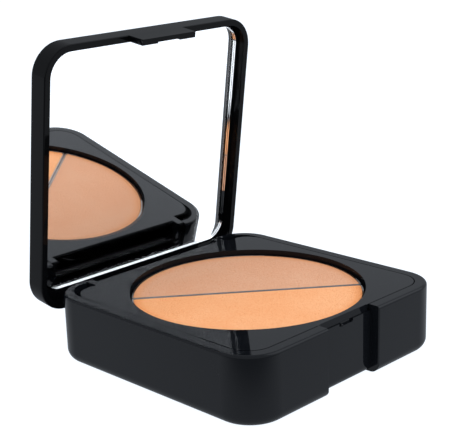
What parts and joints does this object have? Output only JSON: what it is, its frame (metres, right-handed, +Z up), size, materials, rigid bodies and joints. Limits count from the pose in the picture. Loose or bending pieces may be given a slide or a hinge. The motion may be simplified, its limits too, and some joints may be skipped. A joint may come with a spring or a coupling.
{
  "type": "powder compact",
  "caption": "Square two-level powder compact: a mirrored lid and a powder tray with two half-disc pans turn on one hidden rear hinge over an applicator compartment.",
  "frame": {"origin": "centre of the base's underside, on the surface that the compact stands on", "axes": "+X right, +Y to the back (hinge side), +Z up; the thumb notch and the lid's tab are on the -Y side; the lid is drawn standing open at rest"},
  "size_m": [0.072, 0.0818, 0.0819],
  "materials": {
    "shell_black": "moulded black plastic, smooth gloss, light handling marks",
    "tray_black": "moulded black plastic, smooth gloss, dusted with powder near the well",
    "lid_black": "moulded black plastic, smooth gloss",
    "label_paper": "blank dark round sticker, matt",
    "hinge_steel": "ground steel pin",
    "pan_aluminium": "thin drawn pan, bright cut edge",
    "pan_glue": "dried hot-melt glue",
    "powder_tan": "pressed powder, matt, peach tan",
    "powder_apricot": "pressed powder, matt, bright apricot",
    "mirror_pane": "clear float glass with ground edges",
    "mirror_silver": "silvered layer with a painted back",
    "mirror_tape": "double-sided foam tape"
  },
  "bodies": {
    "base": {"base_shell": "shell_black", "base_label": "label_paper", "hinge_pin_right": "hinge_steel", "hinge_pin_left": "hinge_steel"},
    "tray": {"powder_tray": "tray_black", "back_pan": "pan_aluminium", "back_pan_glue": "pan_glue", "back_powder": "powder_tan", "front_pan": "pan_aluminium", "front_pan_glue": "pan_glue", "front_powder": "powder_apricot"},
    "lid": {"lid_shell": "lid_black", "mirror_tape": "mirror_tape", "mirror_silvering": "mirror_silver", "mirror_glass": "mirror_pane"}
  },
  "joints": [
    {"name": "tray_hinge", "type": "hinge", "parent": "base", "child": "tray", "pos_m": [0, 0.0333, 0.0117], "axis": [-1, 0, 0], "range_deg": [0, 36]},
    {"name": "lid_hinge", "type": "hinge", "parent": "tray", "child": "lid", "pos_m": [0, 0.0333, 0.0117], "axis": [-1, 0, 0], "range_deg": [-81.7, 10]}
  ]
}
